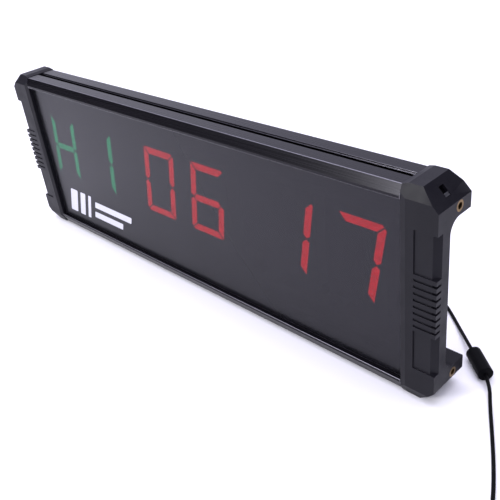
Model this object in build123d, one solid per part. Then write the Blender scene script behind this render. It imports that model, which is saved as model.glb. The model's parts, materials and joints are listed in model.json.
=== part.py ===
from build123d import *
from math import cos, pi, radians, sin, tan
import os

# Gym round timer: two moulded end caps joined by an upper and a lower aluminium rail, a smoked
# front lens and a rear cover held in slots of the rails, and six 60 mm digits on one board.
# Millimetres. X runs along the width, Y from front to back, Z up. The origin is on the floor, in
# the middle of the unit's width and depth.

# ---- driving dimensions -------------------------------------------------------------------------
WIDTH = 450.0
HEIGHT = 150.0
DEPTH = 33.0
CAP_WIDTH = 25.0
RAIL_DROP = 1.5  # the rails lie this much below the tops of the caps
LENS_SETBACK = 4.5  # from the front of the caps to the front of the lens
LENS_THICK = 3.0
DIGIT_HEIGHT = 60.0
DIGIT_WIDTH = 36.5
DIGIT_SLANT = 10.5  # degrees
DIGIT_PITCH = 56.6
PAIR_PITCH = 139.2
DIGIT_ROW_X = -4.6
DIGIT_ROW_Z = 85.0
LEAD_DIA = 2.4

FRONT = -DEPTH / 2
BACK = DEPTH / 2
MID_Z = HEIGHT / 2
X_IN = WIDTH / 2 - CAP_WIDTH  # the caps' inner faces, where the rails end
X_OUT = WIDTH / 2

# end caps
CORNER_CUT = 12.0
FRONT_BEVEL_Y, FRONT_BEVEL_Z = 3.6, 8.0
REAR_BEVEL_Y, REAR_BEVEL_Z = 4.1, 6.7
RIM_BACK = -4.1  # back of the rim that the hand closes round
FOOT_HEIGHT = 21.8  # from a cap's end to the hand hold
HOLD_FILLET = 9.0
END_WALL = 2.4
INNER_BEVEL_LENGTH, INNER_BEVEL_DEPTH = 4.0, 1.2
GRIP_X = 209.6
GRIP_HALF_HEIGHT = 49.3
GRIP_DEPTH = 0.8
GRIP_EDGE_X, GRIP_EDGE_Y = 221.5, 5.0
RIB_COUNT, RIB_PITCH, RIB_WIDTH = 9, 4.7, 3.0
TONGUE_LENGTH = 12.0
TONGUE_PLAY = 0.3

# threaded inserts, M5
INSERT_RADIUS, INSERT_LENGTH, INSERT_BORE = 3.5, 8.0, 2.1
INSERT_Y, INSERT_FROM_MID = 4.8, 59.1

# rails
RAIL_TOP = HEIGHT - RAIL_DROP
RAIL_BASE = HEIGHT - 22.0
RAIL_LIP_FRONT = FRONT + 0.75
RAIL_LIP_TOP, RAIL_LIP_BASE = 142.0, 140.0
RAIL_TOP_FRONT = -13.0
RAIL_BACK = 12.5
RAIL_WALL = 1.5
CHANNEL_Y0, CHANNEL_Y1 = -5.45, 4.55
MOUTH_Y0, MOUTH_Y1 = -3.1, 2.2
CHANNEL_Z0, CHANNEL_Z1 = 142.0, 146.9
NOSE = 0.45
SLOT_PLAY = 0.05
FIN_DEPTH = 3.0
CAP_SCREW_X, CAP_SCREW_Z, CAP_SCREW_RADIUS = 194.0, 135.0, 1.5
CABLE_HOLE_X = 185.5

# lens, cover and board
LENS_Y = FRONT + LENS_SETBACK
LENS_EDGE = 7.0
COVER_Y, COVER_THICK = 8.0, 1.2
COVER_EDGE = 22.3
BOARD_Y, BOARD_THICK = 3.0, 1.6
BOARD_HALF_X, BOARD_Z0, BOARD_Z1 = 197.5, 27.0, 123.0
STANDOFF_XS, STANDOFF_ZS = (-183.0, 0.0, 183.0), (32.0, 118.0)
STANDOFF_RADIUS = 3.0

# digits
MODULE_WIDTH, MODULE_HEIGHT = 48.0, 70.0
MODULE_Y = LENS_Y + LENS_THICK + 0.5
STROKE = 5.8
SEGMENT_GAP = 0.7
SEGMENT_DEPTH = 6.0

# the strip of components below the digits
STRIP_Z = 38.0
BATTERY_X, PROCESSOR_X, RECEIVER_X, BUZZER_X = -150.0, -100.0, 0.0, 35.0
INDUCTOR_X, CAPACITOR_X, REGULATOR_X = 62.0, 84.0, 117.0

# power inlet
JACK_X, JACK_Z = 140.0, 38.0
JACK_RADIUS, JACK_BORE, PIN_RADIUS = 5.5, 2.9, 1.0
FLANGE_RADIUS, FLANGE_THICK = 7.0, 2.0

# switch on the right cap's upper corner face
SWITCH_X, SWITCH_Y = 218.9, -1.2
SLOT_LENGTH, SLOT_WIDTH = 7.4, 4.6
KNOB_LENGTH, KNOB_WIDTH, KNOB_DEPTH = 2.2, 4.2, 0.3
SWITCH_TRAVEL = 4.4
SKIN = 2.5  # the cap's wall over the switch

# adapter
ADAPTER_X, ADAPTER_LENGTH, ADAPTER_DEPTH, ADAPTER_HEIGHT = 403.0, 62.0, 38.0, 27.0
ADAPTER_PIN_LENGTH, ADAPTER_PIN_RADIUS, ADAPTER_PIN_PITCH = 19.0, 2.0, 18.6


# ---- helpers ------------------------------------------------------------------------------------
def block(x0, x1, y0, y1, z0, z1):
    """A box from its lowest to its highest corner."""
    size = Box(x1 - x0, y1 - y0, z1 - z0)
    return Pos((x0 + x1) / 2, (y0 + y1) / 2, (z0 + z1) / 2) * size


def along_x(sketch, x0, x1):
    """A section drawn as (y, z), extruded from x0 to x1."""
    return extrude(Plane.YZ.offset(x0) * sketch, amount=x1 - x0, dir=(1, 0, 0))


def along_y(sketch, y0, y1):
    """A section drawn as (x, z), extruded from y0 to y1."""
    return extrude(Plane.XZ.offset(-y0) * sketch, amount=y1 - y0, dir=(0, 1, 0))


def along_z(sketch, z0, z1):
    """A section drawn as (x, y), extruded from z0 to z1."""
    return extrude(Plane.XY.offset(z0) * sketch, amount=z1 - z0, dir=(0, 0, 1))


def outline(*points):
    return Polygon(*points, align=None)


def rod_y(x, z, radius, y0, y1):
    return along_y(Pos(x, z) * Circle(radius), y0, y1)


def rod_x(y, z, radius, x0, x1):
    return along_x(Pos(y, z) * Circle(radius), x0, x1)


def mirrored_x(shape):
    return mirror(shape, about=Plane.YZ)


def turned_over(shape):
    """The same piece turned half a turn about the unit's front-to-back axis."""
    return Pos(0, 0, HEIGHT) * (Rot(0, 180, 0) * shape)


def tube(points, diameter, least=5.0):
    """A cord of straight runs and tangent arcs, with its length; prints its tightest radius."""
    places = [Vector(*p) for p in points]
    radii = []
    for before, here, after in zip(places, places[1:], places[2:]):
        turn = radians((here - before).get_angle(after - here))
        run = min((here - before).length, (after - here).length)
        radii.append(0.45 * run / tan(turn / 2))
    line = FilletPolyline(*places, radius=radii)
    section = Plane(line @ 0, z_dir=line % 0) * Circle(diameter / 2)
    solid = sweep(section, path=line)
    area = pi * diameter**2 / 4
    print(f"cord of {line.length:.0f} mm, radii {[round(r) for r in radii]}, least allowed {least * diameter:.0f}")
    print(f"volume over section times length: {solid.volume / (area * line.length):.4f}")
    return solid, line.length


# ---- end caps -----------------------------------------------------------------------------------
def cap_profile():
    """The cap seen from its side: deep at both ends and thin in between, as a hand hold."""
    half = [
        (FRONT, HEIGHT - FRONT_BEVEL_Z),
        (FRONT + FRONT_BEVEL_Y, HEIGHT),
        (BACK - REAR_BEVEL_Y, HEIGHT),
        (BACK, HEIGHT - REAR_BEVEL_Z),
        (BACK, HEIGHT - FOOT_HEIGHT),
        (RIM_BACK, HEIGHT - FOOT_HEIGHT),
    ]
    sketch = outline(*half, *[(y, HEIGHT - z) for y, z in reversed(half)])
    inner = [v for v in sketch.vertices() if abs(v.X - RIM_BACK) < 0.01]
    return fillet(inner, radius=HOLD_FILLET)


def grip_pocket():
    """The shallow recess of the thumb grip, running round the outer edge, without its ribs."""
    z0 = MID_Z - GRIP_HALF_HEIGHT
    z1 = MID_Z + GRIP_HALF_HEIGHT
    past = 1.0
    section = outline(
        (GRIP_X, FRONT - past),
        (GRIP_X, FRONT + GRIP_DEPTH),
        (GRIP_EDGE_X, FRONT + GRIP_DEPTH),
        (X_OUT, FRONT + GRIP_EDGE_Y),
        (X_OUT + past, FRONT + GRIP_EDGE_Y),
        (X_OUT + past, FRONT - past),
    )
    pocket = along_z(section, z0, z1)
    for i in range(RIB_COUNT):
        z = MID_Z + (i - (RIB_COUNT - 1) / 2) * RIB_PITCH
        rib = block(GRIP_X - past, X_OUT + 2 * past, FRONT - 2 * past, 0, z - RIB_WIDTH / 2, z + RIB_WIDTH / 2)
        pocket -= rib
    return pocket


def tongue():
    """The plug that enters a rail's hollow, drawn at the upper right, with its screw's pilot hole."""
    y0 = LENS_Y + LENS_THICK + SLOT_PLAY + RAIL_WALL + TONGUE_PLAY
    y1 = RAIL_BACK - RAIL_WALL - TONGUE_PLAY
    z0 = RAIL_BASE + RAIL_WALL + TONGUE_PLAY
    z1 = CHANNEL_Z0 - RAIL_WALL - TONGUE_PLAY
    body = block(X_IN - TONGUE_LENGTH, X_IN, y0, y1, z0, z1)
    return body - rod_y(CAP_SCREW_X, CAP_SCREW_Z, CAP_SCREW_RADIUS + 0.05, 4.0, y1 + 1)


def inner_ramps():
    """What is cut off the cap's front, top and bottom where they ramp down to the rails."""
    far, deep = INNER_BEVEL_LENGTH, INNER_BEVEL_DEPTH
    front = outline((X_IN, FRONT), (X_IN + far, FRONT), (X_IN, FRONT + deep))
    top = outline((X_IN, HEIGHT), (X_IN + far, HEIGHT), (X_IN, HEIGHT - deep))
    bottom = outline((X_IN, 0), (X_IN + far, 0), (X_IN, deep))
    return along_z(front, 0, HEIGHT) + along_y(top, FRONT, BACK) + along_y(bottom, FRONT, BACK)


def end_cap():
    """The right-hand cap, still without the switch."""
    front_view = outline(
        (X_IN, 0),
        (X_OUT - CORNER_CUT, 0),
        (X_OUT, CORNER_CUT),
        (X_OUT, HEIGHT - CORNER_CUT),
        (X_OUT - CORNER_CUT, HEIGHT),
        (X_IN, HEIGHT),
    )
    cap = along_y(front_view, FRONT, BACK) & along_x(cap_profile(), X_IN, X_OUT)
    cap += block(X_IN, X_IN + END_WALL, RIM_BACK, COVER_Y + COVER_THICK, FOOT_HEIGHT, HEIGHT - FOOT_HEIGHT)
    cap -= inner_ramps()
    cap -= grip_pocket()
    for side in (-1, 1):
        z = MID_Z + side * INSERT_FROM_MID
        cap -= rod_x(INSERT_Y, z, INSERT_RADIUS + 0.02, X_OUT - INSERT_LENGTH, X_OUT)
    upper = tongue()
    lower = mirror(upper, about=Plane.XY.offset(MID_Z))
    return cap + upper + lower


def threaded_insert(z):
    body = rod_x(INSERT_Y, z, INSERT_RADIUS, X_OUT - INSERT_LENGTH, X_OUT)
    return body - rod_x(INSERT_Y, z, INSERT_BORE, X_OUT - INSERT_LENGTH, X_OUT)


# ---- switch -------------------------------------------------------------------------------------
def switch_plane():
    """On the corner face: x points up the slope, where the knob travels, and z out of the face."""
    z = HEIGHT - CORNER_CUT + X_OUT - SWITCH_X
    return Plane(origin=(SWITCH_X, SWITCH_Y, z), x_dir=(-1, 0, 1), z_dir=(1, 0, 1))


def switch_space():
    """The slot for the knob, the pocket for the switch and the way out for its cable."""
    pocket = Pos(0, 0, -SKIN - 4) * Box(13, 7, 8)
    slot = Pos(0, 0, -SKIN / 2) * Box(SLOT_LENGTH, SLOT_WIDTH, SKIN + 2)
    local = switch_plane() * (pocket + slot)
    way_out = block(X_IN - TONGUE_LENGTH, SWITCH_X - 6, SWITCH_Y - 1.8, SWITCH_Y + 1.8, 132.0, 138.0)
    return local + way_out


def switch_body():
    """The metal-cased slide switch under the cap's skin, open where its knob moves."""
    case = Pos(0, 0, -SKIN - 2.45) * Box(9.0, 6.2, 4.5)
    well = Pos(0, 0, -SKIN - 1.2) * Box(SLOT_LENGTH + 0.4, SLOT_WIDTH + 0.2, 2.4)
    pins = [Pos(x, 0, -SKIN - 5.6) * Box(0.8, 0.5, 2.2) for x in (-2.5, 0, 2.5)]
    return switch_plane() * (case - well + pins)


def switch_knob():
    """The sliding knob, sunk a little in its slot and resting at the lower, outer end."""
    bottom = -SKIN - 2.1
    knob = Pos(-SWITCH_TRAVEL / 2, 0, (bottom - KNOB_DEPTH) / 2) * Box(
        KNOB_LENGTH, KNOB_WIDTH, -KNOB_DEPTH - bottom
    )
    groove = Pos(-SWITCH_TRAVEL / 2, 0, -KNOB_DEPTH) * Box(0.6, KNOB_WIDTH, 0.6)
    return switch_plane() * (knob - groove)


# ---- rails --------------------------------------------------------------------------------------
def rail():
    """The upper rail: lens slot and lip in front, cover slot at the back, channel for T-nuts on top."""
    slot_y0 = LENS_Y - SLOT_PLAY
    slot_y1 = LENS_Y + LENS_THICK + SLOT_PLAY
    section = outline(
        (RAIL_LIP_FRONT, RAIL_LIP_BASE),
        (RAIL_LIP_FRONT, RAIL_LIP_TOP),
        (RAIL_TOP_FRONT, RAIL_TOP),
        (RAIL_BACK, RAIL_TOP),
        (RAIL_BACK, RAIL_BASE),
        (slot_y1, RAIL_BASE),
        (slot_y1, HEIGHT - LENS_EDGE + SLOT_PLAY),
        (slot_y0, HEIGHT - LENS_EDGE + SLOT_PLAY),
        (slot_y0, RAIL_LIP_BASE),
    )
    roof = CHANNEL_Z0 - RAIL_WALL
    section -= outline(
        (slot_y1 + RAIL_WALL, RAIL_BASE + RAIL_WALL),
        (RAIL_BACK - RAIL_WALL, RAIL_BASE + RAIL_WALL),
        (RAIL_BACK - RAIL_WALL, RAIL_TOP - RAIL_WALL),
        (CHANNEL_Y1 + RAIL_WALL, RAIL_TOP - RAIL_WALL),
        (CHANNEL_Y1 + RAIL_WALL, roof),
        (slot_y1 + RAIL_WALL, roof),
    )
    section -= outline(
        (CHANNEL_Y0, CHANNEL_Z0),
        (CHANNEL_Y1, CHANNEL_Z0),
        (CHANNEL_Y1, CHANNEL_Z1),
        (MOUTH_Y1 - NOSE, CHANNEL_Z1),
        (MOUTH_Y1 - NOSE, CHANNEL_Z1 + NOSE),
        (MOUTH_Y1, CHANNEL_Z1 + NOSE),
        (MOUTH_Y1, RAIL_TOP),
        (MOUTH_Y0, RAIL_TOP),
        (MOUTH_Y0, CHANNEL_Z1),
        (CHANNEL_Y0, CHANNEL_Z1),
    )
    body = along_x(section, -X_IN, X_IN)
    for y in (COVER_Y - SLOT_PLAY - RAIL_WALL, COVER_Y + COVER_THICK + SLOT_PLAY):
        body += block(-X_IN, X_IN, y, y + RAIL_WALL, RAIL_BASE - FIN_DEPTH, RAIL_BASE)
    for x in (-CAP_SCREW_X, CAP_SCREW_X):
        body -= rod_y(x, CAP_SCREW_Z, CAP_SCREW_RADIUS + 0.1, RAIL_BACK - RAIL_WALL - 0.5, RAIL_BACK)
    return body


def top_rail():
    """The upper rail has a hole in its floor for the switch's cable."""
    return rail() - along_z(Pos(CABLE_HOLE_X, SWITCH_Y) * Circle(2.4), RAIL_BASE - 1, RAIL_BASE + RAIL_WALL + 1)


def cap_screw(x, z):
    """A pan-head M3 screw through a rail's back into a cap's tongue."""
    head = rod_y(x, z, 2.9, RAIL_BACK, RAIL_BACK + 1.9)
    head = fillet(head.faces().sort_by(Axis.Y)[-1].edges(), radius=0.9)
    shank = rod_y(x, z, CAP_SCREW_RADIUS, RAIL_BACK - 8, RAIL_BACK)
    return head + shank - cross_recess(x, z, RAIL_BACK + 1.9, 2.6)


def cross_recess(x, z, y, width):
    """The cross of a screwdriver slot, sunk into a head whose top is at y."""
    return block(x - width / 2, x + width / 2, y - 1.1, y, z - 0.3, z + 0.3) + block(
        x - 0.3, x + 0.3, y - 1.1, y, z - width / 2, z + width / 2
    )


# ---- lens, cover and board ----------------------------------------------------------------------
def front_lens():
    return block(-X_IN, X_IN, LENS_Y, LENS_Y + LENS_THICK, LENS_EDGE, HEIGHT - LENS_EDGE)


def rear_cover():
    y0 = COVER_Y
    y1 = COVER_Y + COVER_THICK
    cover = block(-X_IN, X_IN, y0, y1, COVER_EDGE, HEIGHT - COVER_EDGE)
    cover -= rod_y(JACK_X, JACK_Z, JACK_RADIUS + 0.1, y0, y1)
    for x in STANDOFF_XS:
        for z in STANDOFF_ZS:
            cover -= rod_y(x, z, 1.6, y0, y1)
    for i in range(6):
        vent = Pos(BUZZER_X, STRIP_Z - 7.5 + 3 * i) * SlotOverall(16, 1.4)
        cover -= along_y(vent, y0, y1)
    return cover


def rating_label():
    back = COVER_Y + COVER_THICK
    return block(-110, -50, back, back + 0.2, 58, 92)


def display_board():
    y1 = BOARD_Y + BOARD_THICK
    board = block(-BOARD_HALF_X, BOARD_HALF_X, BOARD_Y, y1, BOARD_Z0, BOARD_Z1)
    board -= block(JACK_X - 8, JACK_X + 8, BOARD_Y, y1, BOARD_Z0, JACK_Z + 8)
    for x in STANDOFF_XS:
        for z in STANDOFF_ZS:
            board -= rod_y(x, z, 1.6, BOARD_Y, y1)
    return board


def board_standoff(x, z):
    y0 = BOARD_Y + BOARD_THICK
    return rod_y(x, z, STANDOFF_RADIUS, y0, COVER_Y) - rod_y(x, z, 1.55, y0, COVER_Y)


def board_screw(x, z):
    back = COVER_Y + COVER_THICK
    head = rod_y(x, z, 2.8, back, back + 1.8)
    head = fillet(head.faces().sort_by(Axis.Y)[-1].edges(), radius=0.8)
    shank = rod_y(x, z, 1.5, BOARD_Y + 0.6, back)
    return head + shank - cross_recess(x, z, back + 1.8, 2.6)


# ---- digits -------------------------------------------------------------------------------------
def slanted(points):
    lean = tan(radians(DIGIT_SLANT))
    return outline(*[(u + v * lean, v) for u, v in points])


def segment_outlines():
    """The seven segments of a slanted digit, about its centre, as sections in (x, z)."""
    u, v = DIGIT_WIDTH / 2, DIGIT_HEIGHT / 2
    t, g = STROKE, SEGMENT_GAP
    top = [(-u + g, v), (u - g, v), (u - t - g, v - t), (-u + t + g, v - t)]
    right = [(u, v - g), (u, 0.3 * t + g), (u - t / 2, 0.7 * g), (u - t, t / 2 + g), (u - t, v - t - g)]
    tip = u - t / 2 - g
    flat = u - t - g / 2
    middle = [(-tip, 0), (-flat, t / 2), (flat, t / 2), (tip, 0), (flat, -t / 2), (-flat, -t / 2)]
    cut, small = 3.5, 1.0
    face = slanted(
        [(-u, v - small), (-u + small, v), (u - cut, v), (u, v - cut)]
        + [(u, small - v), (u - small, -v), (cut - u, -v), (-u, cut - v)]
    )
    left = [(-a, b) for a, b in right]
    shapes = [top, right, [(a, -b) for a, b in right], [(a, -b) for a, b in top]]
    shapes += [[(a, -b) for a, b in left], left, middle]
    return [slanted(points) & face for points in shapes]


def digit_segments(x):
    """The seven light guides of one digit, flush with its face."""
    place = Pos(x, DIGIT_ROW_Z)
    y1 = MODULE_Y + SEGMENT_DEPTH
    return Compound([along_y(place * s, MODULE_Y, y1).solid() for s in segment_outlines()])


def digit_housing(x):
    half_x, half_z = MODULE_WIDTH / 2, MODULE_HEIGHT / 2
    body = block(x - half_x, x + half_x, MODULE_Y, BOARD_Y, DIGIT_ROW_Z - half_z, DIGIT_ROW_Z + half_z)
    return body - digit_segments(x)


def digit_places():
    centres = [DIGIT_ROW_X + pair * PAIR_PITCH for pair in (-1, 0, 1)]
    return [c + side * DIGIT_PITCH / 2 for c in centres for side in (-1, 1)]


# ---- components on the board --------------------------------------------------------------------
def on_board(x, z, width, height, depth):
    """A component's body standing on the front of the board."""
    return block(x - width / 2, x + width / 2, BOARD_Y - depth, BOARD_Y, z - height / 2, z + height / 2)


def chip(x, z, width, height, legs, pitch):
    """A flat package with legs along its upper and lower sides."""
    body = on_board(x, z, width, height, 1.6) - on_board(x, z, width, height, 0.2)
    for i in range(legs):
        leg_x = x + (i - (legs - 1) / 2) * pitch
        body += on_board(leg_x, z, 0.4, height + 2.4, 0.5)
    return body


def microcontroller():
    body = chip(PROCESSOR_X, STRIP_Z, 10, 10, 11, 0.8)
    for i in range(11):
        body += on_board(PROCESSOR_X, STRIP_Z + (i - 5) * 0.8, 12.4, 0.4, 0.5)
    return body


def battery_holder():
    ring = rod_y(BATTERY_X, STRIP_Z, 11.0, BOARD_Y - 4.4, BOARD_Y)
    ring -= rod_y(BATTERY_X, STRIP_Z, 10.05, BOARD_Y - 4.4, BOARD_Y - 1.0)
    clip = block(BATTERY_X - 2.5, BATTERY_X + 2.5, BOARD_Y - 4.8, BOARD_Y - 4.4, STRIP_Z - 10.5, STRIP_Z - 4)
    return ring + clip


def clock_battery():
    return rod_y(BATTERY_X, STRIP_Z, 10.0, BOARD_Y - 4.3, BOARD_Y - 1.1)


def buzzer():
    can = rod_y(BUZZER_X, STRIP_Z, 6.0, BOARD_Y - 9.5, BOARD_Y)
    return can - rod_y(BUZZER_X, STRIP_Z, 1.0, BOARD_Y - 9.5, BOARD_Y - 6.5)


def ir_receiver():
    body = on_board(RECEIVER_X, STRIP_Z, 6.0, 7.0, 5.0)
    dome = Pos(RECEIVER_X, BOARD_Y - 5.0, STRIP_Z + 0.8) * Sphere(2.3)
    return body + dome


def power_inductor():
    core = on_board(INDUCTOR_X, STRIP_Z, 12, 12, 6)
    return chamfer(core.edges().filter_by(Axis.Y), length=2)


def filter_capacitor(x):
    can = rod_y(x, STRIP_Z, 4.0, BOARD_Y - 10.0, BOARD_Y - 0.5)
    can = fillet(can.faces().sort_by(Axis.Y)[0].edges(), radius=0.6)
    return can + on_board(x, STRIP_Z, 8.3, 8.3, 0.6)


def voltage_regulator():
    body = on_board(REGULATOR_X, STRIP_Z + 1, 10, 8.5, 4.4)
    tab = on_board(REGULATOR_X, STRIP_Z + 6.5, 9.6, 2.6, 1.3)
    legs = [on_board(REGULATOR_X + dx, STRIP_Z - 5, 0.9, 4, 0.8) for dx in (-3.4, -1.7, 0, 1.7, 3.4)]
    return body + tab + legs


# ---- power inlet and inner cables ---------------------------------------------------------------
def dc_jack():
    """The panel socket: a flange behind the cover, a body through it and the centre pin."""
    back = COVER_Y + COVER_THICK
    mouth = back + FLANGE_THICK
    body = rod_y(JACK_X, JACK_Z, JACK_RADIUS, -3.0, back)
    flange = rod_y(JACK_X, JACK_Z, FLANGE_RADIUS, back, mouth)
    flange = chamfer(flange.faces().sort_by(Axis.Y)[-1].edges(), length=0.6)
    bore = rod_y(JACK_X, JACK_Z, JACK_BORE, 0.0, mouth)
    pin = rod_y(JACK_X, JACK_Z, PIN_RADIUS, -1.0, mouth - 1.0)
    return body + flange - bore + pin


def jack_nut():
    nut = along_y(Pos(JACK_X, JACK_Z) * RegularPolygon(7.4, 6), COVER_Y - 2.4, COVER_Y)
    return nut - rod_y(JACK_X, JACK_Z, JACK_RADIUS + 0.05, COVER_Y - 2.4, COVER_Y)


def header(x, z):
    """A two-way board connector for a plug-in cable."""
    return on_board(x, z, 7.0, 6.0, 5.8)


SWITCH_HEADER_X = 191.0
JACK_HEADER_X = 127.0


def jack_cable():
    points = [
        (JACK_X, -3.0, JACK_Z),
        (139.4, -6.2, 37.8),
        (135.6, -6.4, 37.2),
        (133.6, -2.4, 37.2),
        (JACK_HEADER_X + 3.5, -0.2, 37.4),
    ]
    return tube(points, 1.8, least=1.0)[0]


def switch_cable():
    points = [
        (SWITCH_X - 7, SWITCH_Y, 135.3),
        (200, SWITCH_Y, 134.6),
        (188, SWITCH_Y, 135.2),
        (CABLE_HOLE_X, SWITCH_Y, 128.5),
        (188, SWITCH_Y, 121.5),
    ]
    return tube(points, 1.8, least=1.0)[0]


# ---- lead ---------------------------------------------------------------------------------------
# The lead leaves the plug behind the unit, comes down to the floor, passes the unit's right end
# with its ferrite core, and runs forward to its coil.
FLOOR_Z = LEAD_DIA / 2 + 0.05
FERRITE_START = Vector(219.4, 40.4, 5.15)
FERRITE_END = Vector(237.0, 25.6, 5.15)
FERRITE_RADIUS = 5.1
PLUG_MOUTH_Y = COVER_Y + COVER_THICK + FLANGE_THICK
PLUG_BODY_END = PLUG_MOUTH_Y + 22.0
PLUG_BOOT_END = PLUG_BODY_END + 14.0

COIL_RADIUS = 12 * LEAD_DIA / 2
COIL_COLUMNS, COIL_LAYERS = 3, 4
COIL_BASE = 1.0
COIL_CENTRE = Vector(316.7, -78.2, 0)
COIL_OUTER_TURN = COIL_RADIUS + (COIL_COLUMNS - 1) / 2 * LEAD_DIA
COIL_ENTRY_ANGLE, COIL_EXIT_ANGLE = 207.0, 280.0


def on_coil(angle, z):
    """A point on the coil's outermost turn."""
    turn = radians(angle)
    return (COIL_CENTRE.X + COIL_OUTER_TURN * cos(turn), COIL_CENTRE.Y + COIL_OUTER_TURN * sin(turn), z)


ENTRY = on_coil(COIL_ENTRY_ANGLE, COIL_BASE + LEAD_DIA / 2)
EXIT = on_coil(COIL_EXIT_ANGLE, COIL_BASE + (COIL_LAYERS - 0.5) * LEAD_DIA)

LEAD_ROUTE = [
    (JACK_X, PLUG_BOOT_END, JACK_Z),
    (JACK_X, 55.5, JACK_Z),
    (141.5, 63.5, 34.5),
    (145.2, 71.0, 27.4),
    (151.0, 77.2, 18.8),
    (158.3, 81.0, 10.8),
    (166.9, 82.1, 4.9),
    (176.6, 78.2, 1.9),
    (186.4, 70.6, FLOOR_Z),
    (196.2, 62.0, 1.7),
    (212.5, 46.2, 5.15),
    (241.6, 21.75, 5.15),
    (251.4, 5.0, 1.9),
    (262.2, -12.4, FLOOR_Z),
    (273.4, -31.0, FLOOR_Z),
    (284.0, -50.2, FLOOR_Z),
    (292.3, -68.2, 1.6),
    ENTRY,
]
ADAPTER_Y = -71.0
BOOT_LENGTH = 12.0
BOOT_TIP = Vector(ADAPTER_X - ADAPTER_LENGTH / 2 - BOOT_LENGTH, ADAPTER_Y, 8.0)
END_ROUTE = [
    EXIT,
    (327.6, -93.2, 8.6),
    (335.2, -90.0, 6.4),
    (341.0, -84.2, 5.0),
    (345.6, -77.4, 5.4),
    (352.0, -72.6, 7.2),
    tuple(BOOT_TIP),
]


def dc_plug():
    """The moulded body of the barrel plug, with ribs for the fingers and a tapered boot."""
    body = rod_y(JACK_X, JACK_Z, 5.0, PLUG_MOUTH_Y, PLUG_BODY_END)
    for i in range(5):
        y = PLUG_MOUTH_Y + 6 + 2.6 * i
        body -= rod_y(JACK_X, JACK_Z, 6.0, y, y + 1.2) - rod_y(JACK_X, JACK_Z, 4.5, y, y + 1.2)
    boot_plane = Plane(origin=(JACK_X, PLUG_BODY_END, JACK_Z), z_dir=(0, 1, 0))
    length = PLUG_BOOT_END - PLUG_BODY_END
    boot = loft([boot_plane * Circle(3.4), boot_plane.offset(length) * Circle(1.7)])
    return body + boot


def dc_plug_barrel():
    """The metal barrel inside the socket's bore."""
    tip = PLUG_MOUTH_Y - 9.5
    sleeve = rod_y(JACK_X, JACK_Z, 2.75, tip, PLUG_MOUTH_Y)
    return sleeve - rod_y(JACK_X, JACK_Z, 1.1, tip, PLUG_MOUTH_Y)


def ferrite_core():
    """A moulded ferrite bead round the lead."""
    plane = Plane(origin=FERRITE_START, z_dir=FERRITE_END - FERRITE_START)
    length = (FERRITE_END - FERRITE_START).length
    bead = extrude(plane * Circle(FERRITE_RADIUS), amount=length)
    bead = fillet(bead.edges().filter_by(GeomType.CIRCLE), radius=0.8)
    return bead - extrude(plane * Circle(LEAD_DIA / 2 + 0.1), amount=length)


def lead_coil():
    """The outer shape of the wound-up lead."""
    inner = COIL_RADIUS - COIL_COLUMNS / 2 * LEAD_DIA
    outer = COIL_RADIUS + COIL_COLUMNS / 2 * LEAD_DIA
    ring = Cylinder(outer, COIL_LAYERS * LEAD_DIA, align=(Align.CENTER, Align.CENTER, Align.MIN))
    ring -= Cylinder(inner, COIL_LAYERS * LEAD_DIA, align=(Align.CENTER, Align.CENTER, Align.MIN))
    ring = fillet(ring.edges().filter_by(GeomType.CIRCLE), radius=LEAD_DIA / 2 - 0.1)
    return Pos(COIL_CENTRE.X, COIL_CENTRE.Y, COIL_BASE) * ring


def cable_tie():
    """The strap that holds the coil's turns together, bent with them."""
    play, strap, arc = 0.15, 0.7, 24
    across = COIL_COLUMNS * LEAD_DIA + 2 * play
    tall = COIL_LAYERS * LEAD_DIA + 2 * play
    section = Rectangle(across + 2 * strap, tall + 2 * strap) - Rectangle(across, tall)
    middle = COIL_BASE + COIL_LAYERS * LEAD_DIA / 2
    hoop = revolve(Plane.XZ * (Pos(COIL_RADIUS, middle) * section), axis=Axis.Z, revolution_arc=arc)
    return Pos(COIL_CENTRE.X, COIL_CENTRE.Y) * (Rot(0, 0, 60) * hoop)


def mains_adapter():
    """A plug-in power supply, lying on its side."""
    x0 = ADAPTER_X - ADAPTER_LENGTH / 2
    x1 = ADAPTER_X + ADAPTER_LENGTH / 2
    y0 = ADAPTER_Y - ADAPTER_DEPTH / 2
    y1 = ADAPTER_Y + ADAPTER_DEPTH / 2
    body = block(x0, x1, y0, y1, 0, ADAPTER_HEIGHT)
    body = fillet(body.edges().filter_by(Axis.X), radius=3.5)
    return chamfer(body.faces().sort_by(Axis.X)[0].edges(), length=1.5)


def adapter_boot():
    plane = Plane(origin=BOOT_TIP, z_dir=(1, 0, 0))
    return loft([plane * Circle(1.7), plane.offset(BOOT_LENGTH) * Circle(3.2)])


def adapter_pins():
    x0 = ADAPTER_X + ADAPTER_LENGTH / 2
    pins = []
    for side in (-1, 1):
        y = ADAPTER_Y + side * ADAPTER_PIN_PITCH / 2
        pin = rod_x(y, ADAPTER_HEIGHT / 2, ADAPTER_PIN_RADIUS, x0, x0 + ADAPTER_PIN_LENGTH)
        pins.append(fillet(pin.faces().sort_by(Axis.X)[-1].edges(), radius=1.2))
    return Compound([pin.solid() for pin in pins])


# ---- the assembly -------------------------------------------------------------------------------
def group(shapes):
    """Several like pieces in one node."""
    return Compound([shape.solid() for shape in shapes])


def both_cap_screws():
    places = [(x, z) for x in (-CAP_SCREW_X, CAP_SCREW_X) for z in (HEIGHT - CAP_SCREW_Z, CAP_SCREW_Z)]
    return group([cap_screw(x, z) for x, z in places])


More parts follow.
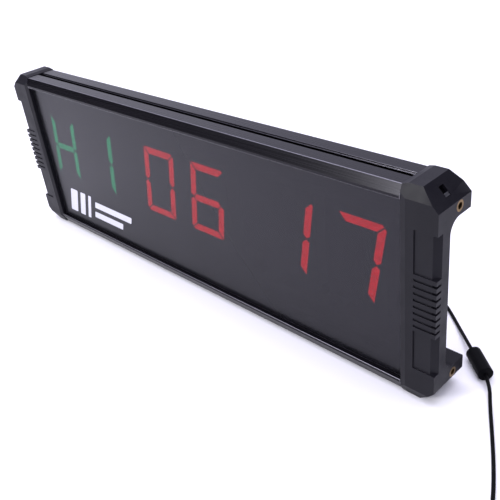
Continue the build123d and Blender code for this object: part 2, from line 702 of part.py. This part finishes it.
def assembly():
    cap = end_cap()
    inserts = group([threaded_insert(MID_Z + side * INSERT_FROM_MID) for side in (-1, 1)])
    main_lead, main_length = tube(LEAD_ROUTE, LEAD_DIA)
    end_lead, end_length = tube(END_ROUTE, LEAD_DIA)
    turns = COIL_COLUMNS * COIL_LAYERS + (COIL_EXIT_ANGLE - COIL_ENTRY_ANGLE) / 360
    coil_length = turns * 2 * pi * COIL_RADIUS
    print(f"coil of {turns:.2f} turns; whole lead {main_length + coil_length + end_length:.0f} mm")
    nodes = {
        "end_cap_left": mirrored_x(cap),
        "end_cap_right": cap - switch_space(),
        "side_inserts_left": mirrored_x(inserts),
        "side_inserts_right": inserts,
        "top_rail": top_rail(),
        "bottom_rail": turned_over(rail()),
        "cap_screws": both_cap_screws(),
        "front_lens": front_lens(),
        "rear_cover": rear_cover(),
        "rating_label": rating_label(),
        "display_board": display_board(),
        "board_standoffs": group([board_standoff(x, z) for x in STANDOFF_XS for z in STANDOFF_ZS]),
        "board_screws": group([board_screw(x, z) for x in STANDOFF_XS for z in STANDOFF_ZS]),
        "microcontroller": microcontroller(),
        "segment_drivers": group([chip(x, 46.5, 8.7, 3.9, 8, 1.27) for x in digit_places()]),
        "battery_holder": battery_holder(),
        "clock_battery": clock_battery(),
        "buzzer": buzzer(),
        "ir_receiver": ir_receiver(),
        "power_inductor": power_inductor(),
        "filter_capacitors": group([filter_capacitor(CAPACITOR_X + dx) for dx in (-5, 5)]),
        "voltage_regulator": voltage_regulator(),
        "dc_jack": dc_jack(),
        "jack_nut": jack_nut(),
        "jack_header": header(JACK_HEADER_X, STRIP_Z),
        "jack_cable": jack_cable(),
        "switch_body": switch_body(),
        "switch_knob": switch_knob(),
        "switch_header": header(SWITCH_HEADER_X, 118.0),
        "switch_cable": switch_cable(),
        "dc_plug": dc_plug(),
        "dc_plug_barrel": dc_plug_barrel(),
        "power_lead": main_lead,
        "ferrite_core": ferrite_core(),
        "lead_coil": lead_coil(),
        "cable_tie": cable_tie(),
        "power_lead_end": end_lead,
        "adapter_boot": adapter_boot(),
        "mains_adapter": mains_adapter(),
        "adapter_pins": adapter_pins(),
    }
    for number, x in enumerate(digit_places(), start=1):
        nodes[f"digit_{number}_housing"] = digit_housing(x)
        nodes[f"digit_{number}_segments"] = digit_segments(x)
    return nodes


os.makedirs("parts", exist_ok=True)
for name, shape in assembly().items():
    export_step(shape, f"parts/{name}.step")
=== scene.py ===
import json
from math import cos, pi, radians, sin, tan

import bpy
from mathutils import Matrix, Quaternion, Vector


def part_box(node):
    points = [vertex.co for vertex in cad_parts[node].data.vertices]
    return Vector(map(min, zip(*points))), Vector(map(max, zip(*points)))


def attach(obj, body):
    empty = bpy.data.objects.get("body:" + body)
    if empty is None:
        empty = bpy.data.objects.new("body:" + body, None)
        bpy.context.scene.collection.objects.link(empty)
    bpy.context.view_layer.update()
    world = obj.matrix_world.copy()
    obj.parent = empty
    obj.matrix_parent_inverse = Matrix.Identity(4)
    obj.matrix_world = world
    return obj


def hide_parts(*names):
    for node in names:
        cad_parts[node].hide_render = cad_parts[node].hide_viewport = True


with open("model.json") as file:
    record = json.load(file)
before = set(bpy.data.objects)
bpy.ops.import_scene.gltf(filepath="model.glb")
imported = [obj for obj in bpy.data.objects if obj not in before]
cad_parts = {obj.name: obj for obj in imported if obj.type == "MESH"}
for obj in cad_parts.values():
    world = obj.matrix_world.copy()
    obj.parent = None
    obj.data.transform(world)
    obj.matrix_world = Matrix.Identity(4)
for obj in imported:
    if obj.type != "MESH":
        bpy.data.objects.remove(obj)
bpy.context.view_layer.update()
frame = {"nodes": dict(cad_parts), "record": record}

# Metres, in the CAD's frame: X along the width, Y from the display to the rear cover, Z up.
MM = 0.001
nodes = frame["nodes"]


# ---- camera -------------------------------------------------------------------------------------
CAMERA_PLACE = Vector((0.4001, -0.3043, 0.3256))
CAMERA_TARGET = Vector((0.0548, 0.0, 0.0486))
CAMERA_ROLL = -7.46  # degrees
LENS_MM = 51.32


def make_camera():
    data = bpy.data.cameras.new("camera")
    data.lens = LENS_MM
    data.clip_start = 0.01
    camera = bpy.data.objects.new("camera", data)
    aim = (CAMERA_TARGET - CAMERA_PLACE).to_track_quat("-Z", "Y")
    camera.rotation_mode = "QUATERNION"
    camera.rotation_quaternion = aim @ Quaternion((0, 0, 1), radians(CAMERA_ROLL))
    camera.location = CAMERA_PLACE
    bpy.context.collection.objects.link(camera)
    bpy.context.scene.camera = camera


# ---- shader helpers -----------------------------------------------------------------------------
class Shader:
    """One Principled material and the few nodes that its textures need."""

    def __init__(self, name, colour, roughness, metallic=0.0, gloss=0.5):
        self.material = bpy.data.materials.new(name)
        self.material.use_nodes = True
        self.tree = self.material.node_tree
        self.main = self.tree.nodes["Principled BSDF"]
        self.main.inputs["Base Color"].default_value = (*colour, 1)
        self.main.inputs["Roughness"].default_value = roughness
        self.main.inputs["Metallic"].default_value = metallic
        self.main.inputs["Specular IOR Level"].default_value = gloss
        self.colour = colour

    def node(self, kind, **inputs):
        made = self.tree.nodes.new(kind)
        for key, value in inputs.items():
            made.inputs[key.replace("_", " ")].default_value = value
        return made

    def link(self, output, target):
        self.tree.links.new(output, target)

    def place(self, stretch=(1, 1, 1)):
        """The object's own coordinates in metres, scaled along each axis."""
        where = self.node("ShaderNodeTexCoord")
        mapping = self.node("ShaderNodeMapping", Scale=stretch)
        self.link(where.outputs["Object"], mapping.inputs["Vector"])
        return mapping.outputs["Vector"]

    def noise(self, scale, detail=3.0, stretch=(1, 1, 1)):
        made = self.node("ShaderNodeTexNoise", Scale=scale, Detail=detail)
        self.link(self.place(stretch), made.inputs["Vector"])
        return made.outputs["Fac"]

    def spread(self, source, low, high, start=0.3, end=0.7):
        """Maps a texture's values from start to end onto low to high."""
        made = self.node("ShaderNodeMapRange")
        for key, value in (("From Min", start), ("From Max", end), ("To Min", low), ("To Max", high)):
            made.inputs[key].default_value = value
        self.link(source, made.inputs["Value"])
        return made.outputs["Result"]

    def vary_colour(self, source, shade, start=0.3, end=0.7):
        """Mixes the base colour towards another one, as a texture's values go from start to end."""
        ramp = self.node("ShaderNodeValToRGB")
        ramp.color_ramp.elements[0].position = start
        ramp.color_ramp.elements[0].color = (*self.colour, 1)
        ramp.color_ramp.elements[1].position = end
        ramp.color_ramp.elements[1].color = (*shade, 1)
        self.link(source, ramp.inputs["Fac"])
        self.link(ramp.outputs["Color"], self.main.inputs["Base Color"])

    def vary_roughness(self, source, low, high):
        self.link(self.spread(source, low, high), self.main.inputs["Roughness"])

    def bump(self, source, depth):
        """Raises the surface by up to depth metres, on top of any bump that it has."""
        made = self.node("ShaderNodeBump", Strength=1.0, Distance=depth)
        self.link(source, made.inputs["Height"])
        if self.main.inputs["Normal"].links:
            self.link(self.main.inputs["Normal"].links[0].from_socket, made.inputs["Normal"])
        self.link(made.outputs["Normal"], self.main.inputs["Normal"])


def scaled(colour, factor):
    return tuple(channel * factor for channel in colour)


# ---- materials ----------------------------------------------------------------------------------
WORN_TO, UNWORN_FROM = -11 * MM, -8 * MM  # Y, where the rails' polished front edges fade out
COOL_TINT = (0.90, 0.88, 1.0, 1)


def moulded(name, colour, roughness, grain=2600.0, depth=0.00003, gloss=0.5):
    """Moulded plastic with a fine spark-eroded grain and slight flow marks."""
    shader = Shader(name, colour, roughness, gloss=gloss)
    shader.vary_colour(shader.noise(35.0), scaled(colour, 1.3))
    shader.vary_roughness(shader.noise(90.0, 5.0), roughness - 0.06, roughness + 0.07)
    shader.bump(shader.noise(grain, 2.0), depth)
    return shader.material


def anodised():
    """Black anodised extrusion with die lines along its length."""
    shader = Shader("anodised_aluminium", (0.0028, 0.0026, 0.0034), 0.27, gloss=0.18)
    shader.main.inputs["Specular Tint"].default_value = COOL_TINT
    lines = shader.noise(1.0, 4.0, (6, 2600, 2600))
    shader.vary_colour(shader.noise(1.0, 3.0, (3, 700, 700)), (0.0044, 0.0040, 0.0054))
    shader.vary_roughness(lines, 0.21, 0.32)
    shader.bump(lines, 0.000012)
    shader.bump(shader.noise(3200.0, 2.0), 0.000006)
    return shader.material


def burnished():
    """The extrusion's edges: handling has polished the front ones bright, and the rest less."""
    shader = Shader("burnished_edge", (0.27, 0.265, 0.29), 0.30, metallic=1.0)
    depth = shader.node("ShaderNodeSeparateXYZ")
    shader.link(shader.place(), depth.inputs["Vector"])
    wear = shader.node("ShaderNodeMath")
    shader.link(shader.spread(depth.outputs["Y"], 0.0, 1.0, WORN_TO, UNWORN_FROM), wear.inputs[0])
    shader.link(shader.spread(shader.noise(1.0, 4.0, (60, 900, 900)), 0.0, 0.2), wear.inputs[1])
    shader.vary_colour(wear.outputs["Value"], (0.060, 0.058, 0.068), 0.0, 1.0)
    shader.vary_roughness(shader.noise(700.0, 3.0), 0.24, 0.42)
    return shader.material


def smoked_acrylic():
    """A dark tinted window with a satin front, seen through only a little."""
    shader = Shader("smoked_acrylic", (0.005, 0.0049, 0.0064), 0.29, gloss=0.33)
    shader.main.inputs["Alpha"].default_value = 0.85
    shader.main.inputs["IOR"].default_value = 1.49
    shader.main.inputs["Specular Tint"].default_value = COOL_TINT
    shader.vary_roughness(shader.noise(40.0, 6.0), 0.28, 0.31)
    return shader.material


def turned_metal(name, colour, roughness):
    """Plated or turned metal with fine tool marks."""
    shader = Shader(name, colour, roughness, metallic=1.0)
    shader.vary_colour(shader.noise(400.0, 4.0), scaled(colour, 0.72))
    shader.vary_roughness(shader.noise(900.0, 4.0), roughness - 0.08, roughness + 0.12)
    shader.bump(shader.noise(1.0, 3.0, (4000, 4000, 900)), 0.000015)
    return shader.material


def powder_coat():
    """Powder coat with an orange-peel surface."""
    shader = Shader("powder_coat", (0.017, 0.017, 0.019), 0.48, gloss=0.35)
    shader.vary_colour(shader.noise(60.0), (0.022, 0.022, 0.025))
    shader.vary_roughness(shader.noise(500.0, 3.0), 0.42, 0.56)
    shader.bump(shader.noise(900.0, 2.0), 0.00005)
    shader.bump(shader.noise(3500.0, 1.0), 0.00001)
    return shader.material


def solder_mask():
    """Black solder mask over faintly raised tracks."""
    shader = Shader("solder_mask", (0.006, 0.009, 0.008), 0.28)
    tracks = shader.node("ShaderNodeTexBrick", Scale=120.0)
    tracks.inputs["Mortar Size"].default_value = 0.02
    shader.link(shader.place(), tracks.inputs["Vector"])
    shader.vary_colour(tracks.outputs["Fac"], (0.014, 0.022, 0.018))
    shader.bump(tracks.outputs["Fac"], 0.00003)
    return shader.material


def rubbery(name, colour, roughness=0.42, gloss=0.5):
    """Soft PVC with a slight sheen and handling marks."""
    shader = Shader(name, colour, roughness, gloss=gloss)
    shader.vary_colour(shader.noise(200.0), scaled(colour, 1.5))
    shader.vary_roughness(shader.noise(500.0, 4.0), roughness - 0.08, roughness + 0.1)
    shader.bump(shader.noise(1800.0, 2.0), 0.00002)
    return shader.material


def woven(name, colour):
    """A hook-and-loop strap's short pile."""
    shader = Shader(name, colour, 0.95)
    shader.main.inputs["Sheen Weight"].default_value = 0.15
    shader.vary_colour(shader.noise(2500.0, 2.0), scaled(colour, 2.2))
    shader.bump(shader.noise(3000.0, 2.0), 0.0002)
    return shader.material


def glowing(name, colour, strength):
    """A lit light guide, with slightly brighter and darker spots."""
    shader = Shader(name, scaled(colour, 0.5), 0.4)
    shader.main.inputs["Emission Color"].default_value = (*colour, 1)
    spots = shader.spread(shader.noise(260.0, 1.0), strength * 0.85, strength * 1.15)
    shader.link(spots, shader.main.inputs["Emission Strength"])
    return shader.material


def printed(name, colour):
    """Screen-printed ink with slightly uneven cover."""
    shader = Shader(name, colour, 0.5)
    shader.vary_colour(shader.noise(900.0, 4.0), scaled(colour, 0.86))
    shader.bump(shader.noise(4000.0, 1.0), 0.000004)
    return shader.material


CHARCOAL = (0.0060, 0.0057, 0.0078)
RED = (1.0, 0.002, 0.010)
GREEN = (0.0, 1.0, 0.42)

MATERIALS = {
    "cap_plastic": moulded("cap_abs", CHARCOAL, 0.42, gloss=0.125),
    "rail_anodised": anodised(),
    "lens_acrylic": smoked_acrylic(),
    "insert_brass": turned_metal("brass", (0.20, 0.125, 0.046), 0.36),
    "screw_steel": turned_metal("black_zinc", (0.09, 0.09, 0.095), 0.36),
    "cell_steel": turned_metal("plated_steel", (0.62, 0.62, 0.61), 0.24),
    "can_aluminium": turned_metal("can_aluminium", (0.42, 0.42, 0.44), 0.3),
    "pin_nickel": turned_metal("nickel", (0.72, 0.69, 0.62), 0.18),
    "cover_paint": powder_coat(),
    "label_film": moulded("label_film", (0.42, 0.42, 0.43), 0.38, 1500.0, 0.000005),
    "board_laminate": solder_mask(),
    "component_black": moulded("epoxy", (0.016, 0.016, 0.017), 0.5, 2000.0),
    "header_plastic": moulded("natural_nylon", (0.62, 0.58, 0.48), 0.45),
    "knob_plastic": moulded("knob_abs", (0.035, 0.035, 0.038), 0.4),
    "ferrite_plastic": moulded("ferrite_sleeve", (0.002, 0.002, 0.0026), 0.45, 1500.0, gloss=0.04),
    "adapter_plastic": moulded("adapter_abs", (0.008, 0.008, 0.009), 0.44, 1700.0, 0.00005, 0.22),
    "digit_face": moulded("digit_face", (0.010, 0.010, 0.011), 0.6, 3000.0, 0.000004),
    "digit_guide": moulded("unlit_resin", (0.100, 0.095, 0.088), 0.5, 900.0, 0.00001),
    "wire_rubber": rubbery("wire_insulation", (0.02, 0.02, 0.022)),
    "lead_rubber": rubbery("lead_pvc", (0.002, 0.002, 0.0023), 0.46, 0.05),
    "tie_fabric": woven("strap", (0.006, 0.006, 0.007)),
}
EDGE = burnished()
CAP_EDGE = moulded("cap_edge", scaled(CHARCOAL, 1.6), 0.30, gloss=0.5)
INK = printed("white_ink", (0.54, 0.54, 0.60))
DARK_INK = printed("dark_ink", (0.05, 0.05, 0.055))
LIT = {"red": glowing("lit_red", RED, 15.5), "green": glowing("lit_green", GREEN, 7.2)}


def dress_nodes():
    """Gives every CAD node its slot's material."""
    for part in frame["record"]["subparts"]:
        nodes[part["node"]].material_slots[0].material = MATERIALS[part["material_slot"]]


WELD_GAP = 0.000005  # joins the corners that neighbouring CAD faces have in the same place
SHARPEST_KEPT = radians(25)
CAP_BEVEL, RAIL_BEVEL, ADAPTER_BEVEL = 0.5 * MM, 0.25 * MM, 1.5 * MM


def round_edges(name, width, edge_material=None):
    """Rolls over a CAD node's edges that are sharper than an angle, so that they catch the light."""
    weld = nodes[name].modifiers.new("weld", "WELD")
    weld.merge_threshold = WELD_GAP
    bevel = nodes[name].modifiers.new("bevel", "BEVEL")
    bevel.width = width
    bevel.segments = 2
    bevel.limit_method = "ANGLE"
    bevel.angle_limit = SHARPEST_KEPT
    if edge_material:
        nodes[name].data.materials.append(edge_material)
        bevel.material = len(nodes[name].data.materials) - 1


# ---- digits -------------------------------------------------------------------------------------
# The segments in the order top, upper right, lower right, bottom, lower left, upper left, middle.
SHOWN = [
    ("green", (0, 1, 1, 0, 1, 1, 1)),
    ("green", (0, 1, 1, 0, 0, 0, 0)),
    ("red", (1, 1, 1, 1, 1, 1, 0)),
    ("red", (1, 0, 1, 1, 1, 1, 1)),
    ("red", (0, 1, 1, 0, 0, 0, 0)),
    ("red", (1, 1, 1, 0, 0, 0, 0)),
]
SLANT = radians(10.5)
MIDDLE_BAND, END_BAND = 0.2, 0.8  # how far up the level segments lie, as a share of half the digit
MIDDLE_REACH, END_REACH = 0.7, 0.8  # how far across their middles can be
GRID = 1e6  # corners that touch agree to this many steps per metre


def segment_at(across, up):
    """Which segment lies at a place in the upright digit, from -1 to 1 across and up."""
    if abs(up) < MIDDLE_BAND and abs(across) < MIDDLE_REACH:
        return 6
    if abs(up) > END_BAND and abs(across) < END_REACH:
        return 0 if up > 0 else 3
    if across > 0:
        return 1 if up > 0 else 2
    return 5 if up > 0 else 4


def face_groups(mesh):
    """The mesh's faces in touching groups, by the places of their corners."""
    group_of = {}
    for face in mesh.polygons:
        corners = [tuple(round(v * GRID) for v in mesh.vertices[i].co) for i in face.vertices]
        joined = {id(group_of[c]): group_of[c] for c in corners if c in group_of}
        merged = {"faces": [face.index], "corners": set(corners)}
        for group in joined.values():
            merged["faces"] += group["faces"]
            merged["corners"] |= group["corners"]
        for corner in merged["corners"]:
            group_of[corner] = merged
    return list({id(g): g for g in group_of.values()}.values())


def light_digit(number, colour, lit):
    """Gives the lit segments of one digit their glow."""
    name = f"digit_{number}_segments"
    low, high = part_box(name)
    middle = (low + high) / 2
    half_up = (high.z - low.z) / 2
    half_across = (high.x - low.x) / 2 - half_up * tan(SLANT)
    thing = nodes[name]
    thing.data.materials.append(LIT[colour])
    lit_slot = len(thing.data.materials) - 1
    for group in face_groups(thing.data):
        points = [Vector(c) / GRID for c in group["corners"]]
        centre = sum(points, Vector()) / len(points)
        up = centre.z - middle.z
        across = centre.x - middle.x - up * tan(SLANT)
        if lit[segment_at(across / half_across, up / half_up)]:
            for index in group["faces"]:
                thing.data.polygons[index].material_index = lit_slot


# ---- printed marks ------------------------------------------------------------------------------
INK_THICKNESS = 0.00006
CORNER_SHARE, CORNER_STEPS = 0.12, 6  # a bar's corner radius as a share of its shorter side

MARK_INSET, MARK_LIFT = 14 * MM, 11.5 * MM  # from the lens's lower left corner
MARK_HEIGHT = 25 * MM
MARK_LEAN = tan(radians(20))
SLANTED_WIDTHS, SLANTED_GAP = (11.5 * MM, 8 * MM, 4.5 * MM), 5 * MM
LONG_LENGTHS, LONG_INSET = (44 * MM, 56 * MM), 2 * MM
LONG_LIFT, LONG_PITCH, LONG_HEIGHT = 0.14, 0.44, 0.26  # as shares of the mark's height

LABEL_ROWS = (0.78, 0.55, 0.66, 0.38, 0.72)  # lengths, as shares of the label's width
LABEL_INSET = 4 * MM
ROW_LIFT, ROW_HEIGHT = 0.6, 0.42  # as shares of the rows' pitch


def thin_shapes(name, outlines, y, material):
    """Closed outlines of (x, z) points, anticlockwise from the front, as one thin piece about y."""
    corners, faces = [], []
    for points in outlines:
        count = len(points)
        front = range(len(corners), len(corners) + count)
        back = [corner + count for corner in front]
        for side in (-1, 1):
            corners += [(x, y + side * INK_THICKNESS / 2, z) for x, z in points]
        faces += [list(front), back[::-1]]
        for i in range(count):
            after = (i + 1) % count
            faces.append([front[after], front[i], back[i], back[after]])
    mesh = bpy.data.meshes.new(name)
    mesh.from_pydata(corners, [], faces)
    mesh.materials.append(material)
    thing = bpy.data.objects.new(name, mesh)
    bpy.context.collection.objects.link(thing)
    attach(thing, "housing")


def bar(x, z, length, height, lean=0.0):
    """A bar with round corners, from x, z at its lower left, leaning by lean per unit of height."""
    radius = min(length, height) * CORNER_SHARE
    points = []
    corners = [
        (length - radius, radius, -90),
        (length - radius, height - radius, 0),
        (radius, height - radius, 90),
        (radius, radius, 180),
    ]
    for u, v, start in corners:
        for i in range(CORNER_STEPS + 1):
            turn = radians(start + 90 * i / CORNER_STEPS)
            across = u + radius * cos(turn)
            up = v + radius * sin(turn)
            points.append((x + across + lean * up, z + up))
    return points


def front_print():
    """A plain mark on the lens under the left-hand digits: three slanted bars and two long ones."""
    low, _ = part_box("front_lens")
    x, z = low.x + MARK_INSET, low.z + MARK_LIFT
    outlines = []
    for width in SLANTED_WIDTHS:
        outlines.append(bar(x, z, width, MARK_HEIGHT, MARK_LEAN))
        x += width + SLANTED_GAP
    x += LONG_INSET
    for row, length in enumerate(LONG_LENGTHS):
        up = MARK_HEIGHT * (LONG_LIFT + LONG_PITCH * row)
        height = MARK_HEIGHT * LONG_HEIGHT
        outlines.append(bar(x + MARK_LEAN * up, z + up, length, height, MARK_LEAN))
    thin_shapes("front_print", outlines, low.y, INK)


def label_print():
    """Plain bars on the rear label where its rating would be."""
    low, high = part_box("rating_label")
    pitch = (high.z - low.z) / (len(LABEL_ROWS) + 1)
    outlines = []
    for row, share in enumerate(LABEL_ROWS):
        length = (high.x - low.x) * share
        z = low.z + pitch * (row + ROW_LIFT)
        outlines.append(bar(low.x + LABEL_INSET, z, length, pitch * ROW_HEIGHT))
    thin_shapes("label_print", outlines, high.y, DARK_INK)


# ---- power lead ---------------------------------------------------------------------------------
# The routes' points and FLOOR_Z are in millimetres, as in part.py. The other sizes are in metres.
LEAD_DIA = 2.4 * MM
COIL_RADIUS = 14.4 * MM
COIL_CENTRE = Vector((316.7 * MM, -78.2 * MM))
COIL_BASE = 1.0 * MM
COIL_COLUMNS, COIL_LAYERS = 3, 4
COIL_OUTER_TURN = COIL_RADIUS + (COIL_COLUMNS - 1) / 2 * LEAD_DIA
ENTRY_ANGLE, EXIT_ANGLE = 207.0, 280.0  # degrees
CROSSING = 0.25  # the share of each turn, at its end, that moves over to the next one
FLOOR_Z = 1.25  # mm, the lead's middle where it lies on the floor
LEAD_ROUTE = [
    (140.0, 47.2, 38.0),
    (140.0, 55.5, 38.0),
    (141.5, 63.5, 34.5),
    (145.2, 71.0, 27.4),
    (151.0, 77.2, 18.8),
    (158.3, 81.0, 10.8),
    (166.9, 82.1, 4.9),
    (176.6, 78.2, 1.9),
    (186.4, 70.6, FLOOR_Z),
    (196.2, 62.0, 1.7),
    (212.5, 46.2, 5.15),
    (241.6, 21.75, 5.15),
    (251.4, 5.0, 1.9),
    (262.2, -12.4, FLOOR_Z),
    (273.4, -31.0, FLOOR_Z),
    (284.0, -50.2, FLOOR_Z),
    (292.3, -68.2, 1.6),
]
END_ROUTE = [
    (327.6, -93.2, 8.6),
    (335.2, -90.0, 6.4),
    (341.0, -84.2, 5.0),
    (345.6, -77.4, 5.4),
    (352.0, -72.6, 7.2),
    (360.0, -71.0, 8.0),
]
POINTS_PER_TURN = 18


def coil_points():
    """The wound turns: in over the first layer, out over the second, and so on upwards."""
    count = COIL_COLUMNS * COIL_LAYERS
    turns = count + (EXIT_ANGLE - ENTRY_ANGLE) / 360
    steps = round(turns * POINTS_PER_TURN)
    cut_in = 1 / cos(pi / POINTS_PER_TURN)  # the spline runs this much inside its points

    def place(turn):
        layer, column = divmod(min(turn, count - 1), COIL_COLUMNS)
        inward = column if layer % 2 == 0 else COIL_COLUMNS - 1 - column
        return COIL_OUTER_TURN - inward * LEAD_DIA, COIL_BASE + (layer + 0.5) * LEAD_DIA

    points = []
    for i in range(steps + 1):
        along = turns * i / steps
        turn = int(along)
        ease = max(0.0, (along - turn - (1 - CROSSING)) / CROSSING)
        ease = ease * ease * (3 - 2 * ease)
        (r0, z0), (r1, z1) = place(turn), place(turn + 1)
        radius = (r0 + (r1 - r0) * ease) * cut_in
        angle = radians(ENTRY_ANGLE + 360 * along)
        x = COIL_CENTRE.x + radius * cos(angle)
        y = COIL_CENTRE.y + radius * sin(angle)
        points.append((x, y, z0 + (z1 - z0) * ease))
    return points


def power_lead():
    """One smooth cord from the plug, round its coil, to the adapter's boot."""
    route = [tuple(v * MM for v in p) for p in LEAD_ROUTE]
    route += coil_points()
    route += [tuple(v * MM for v in p) for p in END_ROUTE]
    data = bpy.data.curves.new("power_lead_cord", "CURVE")
    data.dimensions = "3D"
    data.bevel_depth = LEAD_DIA / 2
    data.bevel_resolution = 4
    data.resolution_u = 6
    spline = data.splines.new("NURBS")
    spline.points.add(len(route) - 1)
    for point, place in zip(spline.points, route):
        point.co = (*place, 1)
    spline.order_u = 3
    spline.use_endpoint_u = True
    data.materials.append(MATERIALS["lead_rubber"])
    lead = bpy.data.objects.new("power_lead_cord", data)
    bpy.context.collection.objects.link(lead)
    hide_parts("power_lead", "lead_coil", "power_lead_end")
    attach(lead, "housing")


# ---- studio -------------------------------------------------------------------------------------
SKY, SKY_STRENGTH = (0.82, 0.805, 1.0, 1), 1.22
COOL_LIGHT = (0.84, 0.82, 1.0)
FLOOR_SIDE = 8.0


def area_light(name, place, target, width, height, power, colour=(1, 1, 1)):
    data = bpy.data.lights.new(name, "AREA")
    data.shape = "RECTANGLE"
    data.size = width
    data.size_y = height
    data.energy = power
    data.color = colour
    light = bpy.data.objects.new(name, data)
    light.location = place
    light.rotation_mode = "QUATERNION"
    light.rotation_quaternion = (Vector(target) - Vector(place)).to_track_quat("-Z", "Y")
    bpy.context.collection.objects.link(light)


def sheet(name, width, height):
    """A flat rectangle's mesh, about its own middle."""
    mesh = bpy.data.meshes.new(name)
    u, v = width / 2, height / 2
    mesh.from_pydata([(-u, -v, 0), (u, -v, 0), (u, v, 0), (-u, v, 0)], [], [(0, 1, 2, 3)])
    return mesh


def flag(name, place, target, width, height, shade):
    """A dark card that the camera doesn't see, which the glossy faces turned to it mirror."""
    mesh = sheet(name, width, height)
    card = bpy.data.objects.new(name, mesh)
    card.location = place
    card.rotation_mode = "QUATERNION"
    card.rotation_quaternion = (Vector(target) - Vector(place)).to_track_quat("Z", "Y")
    card.visible_camera = False
    surface = Shader(name, (shade, shade, shade), 0.9)
    surface.vary_roughness(surface.noise(30.0), 0.85, 0.95)
    mesh.materials.append(surface.material)
    bpy.context.collection.objects.link(card)


def lay_floor():
    mesh = sheet("floor", FLOOR_SIDE, FLOOR_SIDE)
    floor = bpy.data.objects.new("floor", mesh)
    surface = Shader("pale_floor", (0.92, 0.92, 0.90), 0.7)
    surface.vary_roughness(surface.noise(3.0), 0.65, 0.75)
    mesh.materials.append(surface.material)
    bpy.context.collection.objects.link(floor)


def make_studio():
    world = bpy.data.worlds.new("studio")
    bpy.context.scene.world = world
    world.use_nodes = True
    background = world.node_tree.nodes["Background"]
    background.inputs["Color"].default_value = SKY
    background.inputs["Strength"].default_value = SKY_STRENGTH
    area_light("overhead", (-0.1, 0.1, 1.6), (0, 0, 0), 2.2, 1.8, 28, COOL_LIGHT)
    area_light("back_left", (-1.5, 0.68, 0.54), (-0.1, 0, 0.14), 1.0, 0.5, 0.25)
    area_light("front", (-0.34, -1.2, 0.50), (0.2, 0, 0.1), 0.16, 0.3, 11)
    flag("front_flag", (-1.7, -1.3, 0.5), (0, 0, 0.14), 2.2, 0.9, 0.02)
    flag("back_flag", (0.70, 1.02, 0.7), (0.2, 0, 0.14), 1.5, 0.8, 0.05)
    lay_floor()
    bpy.context.scene.view_settings.view_transform = "Standard"


make_camera()
dress_nodes()
power_lead()
for cap in ("end_cap_left", "end_cap_right"):
    round_edges(cap, CAP_BEVEL, CAP_EDGE)
for rail in ("top_rail", "bottom_rail"):
    round_edges(rail, RAIL_BEVEL, EDGE)
round_edges("mains_adapter", ADAPTER_BEVEL)
for number, (colour, lit) in enumerate(SHOWN, start=1):
    light_digit(number, colour, lit)
front_print()
label_print()
make_studio()
